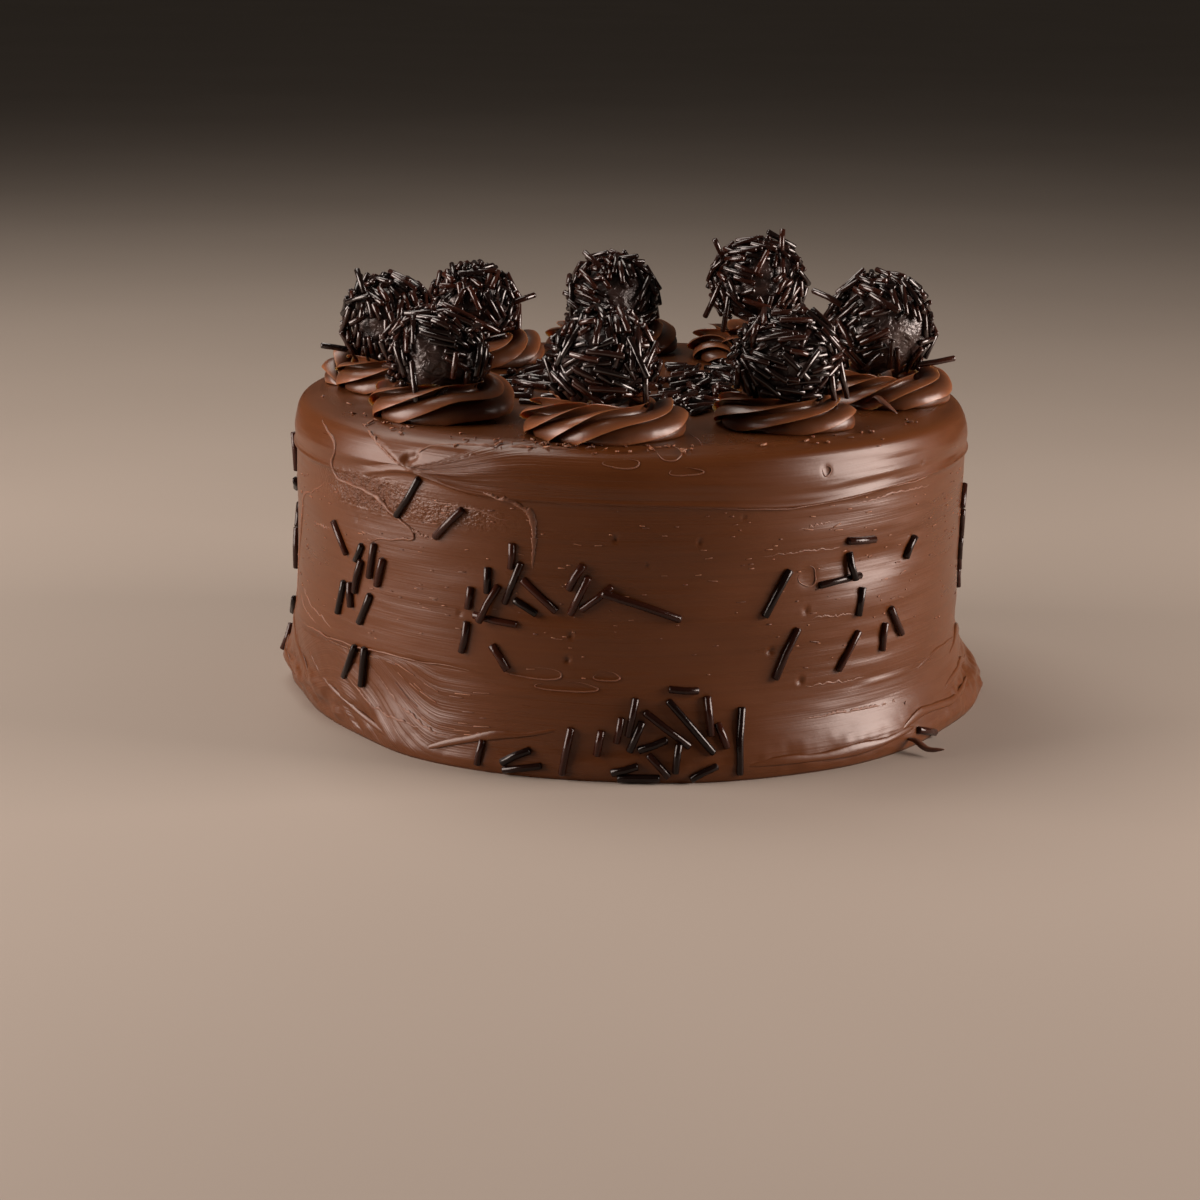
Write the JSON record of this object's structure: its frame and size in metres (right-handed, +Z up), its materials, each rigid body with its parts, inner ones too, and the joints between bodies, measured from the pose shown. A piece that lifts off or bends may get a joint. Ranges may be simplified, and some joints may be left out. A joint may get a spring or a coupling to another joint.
{
  "type": "layer cake",
  "caption": "Round frosted chocolate layer cake with a ring of piped rosettes, each holding a sprinkle-coated fudge truffle, and sprinkles on its side.",
  "frame": {"origin": "middle of the flat underside, on the cake's axis", "axes": "+Z up along the cake's axis, -Y towards the front of the pictured side, +X to its right"},
  "size_m": [0.2359, 0.2272, 0.1416],
  "materials": {
    "frosting": "milk-chocolate frosting spread with a palette knife: satin sheen, fine knife striations",
    "piped_frosting": "the same frosting piped through a star tip: smooth ridges with a soft gloss",
    "fudge": "dark chocolate fudge, sticky and glossy, rolled in chocolate sprinkles",
    "sprinkle": "dark chocolate sprinkles with a waxy gloss"
  },
  "bodies": {
    "root": {"cake": "frosting", "rosette_1": "piped_frosting", "rosette_2": "piped_frosting", "rosette_3": "piped_frosting", "rosette_4": "piped_frosting", "rosette_5": "piped_frosting", "rosette_6": "piped_frosting", "rosette_7": "piped_frosting", "rosette_8": "piped_frosting", "truffle_1": "fudge", "truffle_2": "fudge", "truffle_3": "fudge", "truffle_4": "fudge", "truffle_5": "fudge", "truffle_6": "fudge", "truffle_7": "fudge", "truffle_8": "fudge"}
  },
  "joints": []
}
